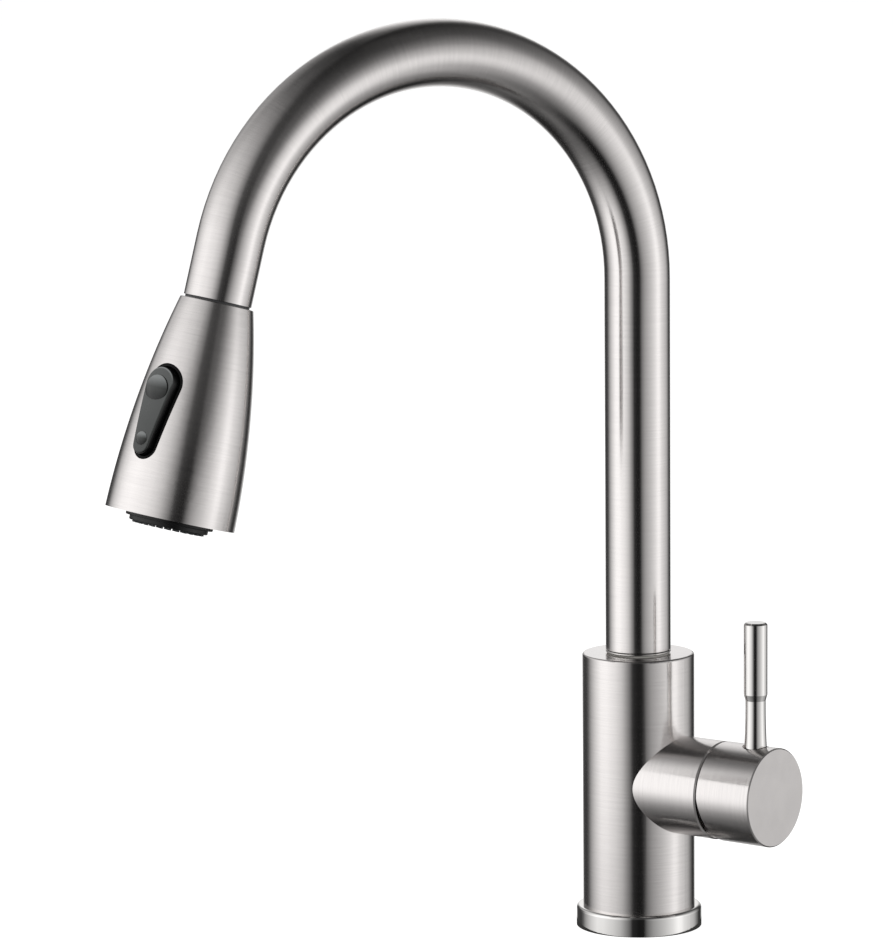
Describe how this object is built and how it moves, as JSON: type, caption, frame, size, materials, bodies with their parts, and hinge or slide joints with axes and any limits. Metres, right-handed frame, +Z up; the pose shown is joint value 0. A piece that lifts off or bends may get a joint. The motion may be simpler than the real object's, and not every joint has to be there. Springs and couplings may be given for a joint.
{
  "type": "pull down kitchen faucet",
  "caption": "Gooseneck mixer tap for a worktop: round body, side lever, swivelling spout, and a bell-shaped spray head with a rocker button that pulls down on a hose.",
  "frame": {"origin": "centre of the base flange's underside, on the worktop's surface", "axes": "+Z up along the body; +X out along the handle's axis; the user stands on the -Y side; at rest the spout points from -Y 22.5 degrees towards -X"},
  "size_m": [0.1828, 0.2586, 0.459],
  "materials": {
    "brushed_nickel": "satin, brushed around each round piece",
    "polished_nickel": "polished",
    "stainless": "plain",
    "brass": "machined",
    "black_plastic": "fine matt",
    "grey_button": "soft matt",
    "grey_plastic": "moulded",
    "white_plastic": "moulded",
    "black_rubber": "matt",
    "grey_rubber": "soft",
    "ceramic": "lapped",
    "hose_braid": "woven nylon braid"
  },
  "bodies": {
    "base": {"base_flange": "polished_nickel", "base_gasket": "black_rubber", "mounting_shank": "brass", "rubber_washer": "black_rubber", "steel_washer": "stainless", "mounting_nut": "brass", "body_tube": "brushed_nickel", "side_boss": "brushed_nickel", "valve_block": "brass", "spout_bearing": "white_plastic", "port_seals": "black_rubber", "cartridge_base": "white_plastic", "cartridge_housing": "grey_plastic", "fixed_disc": "ceramic", "cartridge_nut": "brass", "bonnet_ring": "brushed_nickel"},
    "spout": {"spout_tube": "brushed_nickel", "spout_foot": "brass", "foot_ring": "polished_nickel", "foot_washer": "black_plastic", "swivel_o_rings": "black_rubber", "retaining_clip": "stainless", "dock_collar": "black_plastic", "spray_hose": "hose_braid"},
    "hose_end": {"hose_ferrule": "stainless", "hose_nipple": "brass"},
    "head": {"swivel_nut": "brass", "hose_washer": "black_rubber", "inlet_filter": "white_plastic", "check_valve": "white_plastic", "dock_plug": "black_plastic", "head_shell": "brushed_nickel", "button_bezel": "black_plastic", "rocker_pin": "stainless", "head_core": "grey_plastic", "spray_face": "black_plastic", "face_o_ring": "black_rubber", "nozzle_plate": "black_plastic", "nozzle_mat": "grey_rubber", "aerator_housing": "grey_plastic", "aerator_screen": "stainless"},
    "rocker": {"rocker_button": "grey_button"},
    "spool": {"diverter_spool": "white_plastic", "spool_o_rings": "black_rubber"},
    "turntable": {"stem_guide": "grey_plastic", "pivot_pin": "stainless"},
    "handle": {"stem": "brass", "handle_hub": "brushed_nickel", "lever": "polished_nickel", "set_screw": "stainless", "hub_plug": "polished_nickel"},
    "disc": {"moving_disc": "ceramic", "disc_driver": "grey_plastic"}
  },
  "joints": [
    {"name": "spout_swivel", "type": "hinge", "parent": "base", "child": "spout", "pos_m": [0, 0, 0.12], "axis": [0, 0, 1], "continuous": true},
    {"name": "head_pull", "type": "slide", "parent": "spout", "child": "hose_end", "axis": [-0.0978, -0.236, -0.9668], "range_m": [0, 0.45], "stiffness_N_per_m": 2, "springref_m": -1.5, "deforming": ["spray_hose"]},
    {"name": "head_swivel", "type": "hinge", "parent": "hose_end", "child": "head", "pos_m": [-0.07646, -0.1846, 0.28105], "axis": [-0.0978, -0.236, -0.9668], "continuous": true},
    {"name": "rocker_tilt", "type": "hinge", "parent": "head", "child": "rocker", "pos_m": [-0.08083, -0.21316, 0.23752], "axis": [-0.9949, -0.0018, 0.101], "range_deg": [-4, 4]},
    {"name": "spool_slide", "type": "slide", "parent": "head", "child": "spool", "axis": [-0.0978, -0.236, -0.9668], "range_m": [-0.00087, 0.00087]},
    {"name": "handle_turn", "type": "hinge", "parent": "base", "child": "turntable", "pos_m": [0.031, 0, 0.0639], "axis": [1, 0, 0], "range_deg": [-45, 45]},
    {"name": "handle_lift", "type": "hinge", "parent": "turntable", "child": "handle", "pos_m": [0.031, 0, 0.0639], "axis": [0, 1, 0], "range_deg": [0, 20]},
    {"name": "disc_slide", "type": "slide", "parent": "turntable", "child": "disc", "axis": [0, 0, 1], "range_m": [0, 0.0021]}
  ],
  "couplings": [
    {"joint": "spool_slide", "follows": "rocker_tilt", "m_per_rad": 0.01243},
    {"joint": "disc_slide", "follows": "handle_lift", "m_per_rad": 0.006}
  ]
}
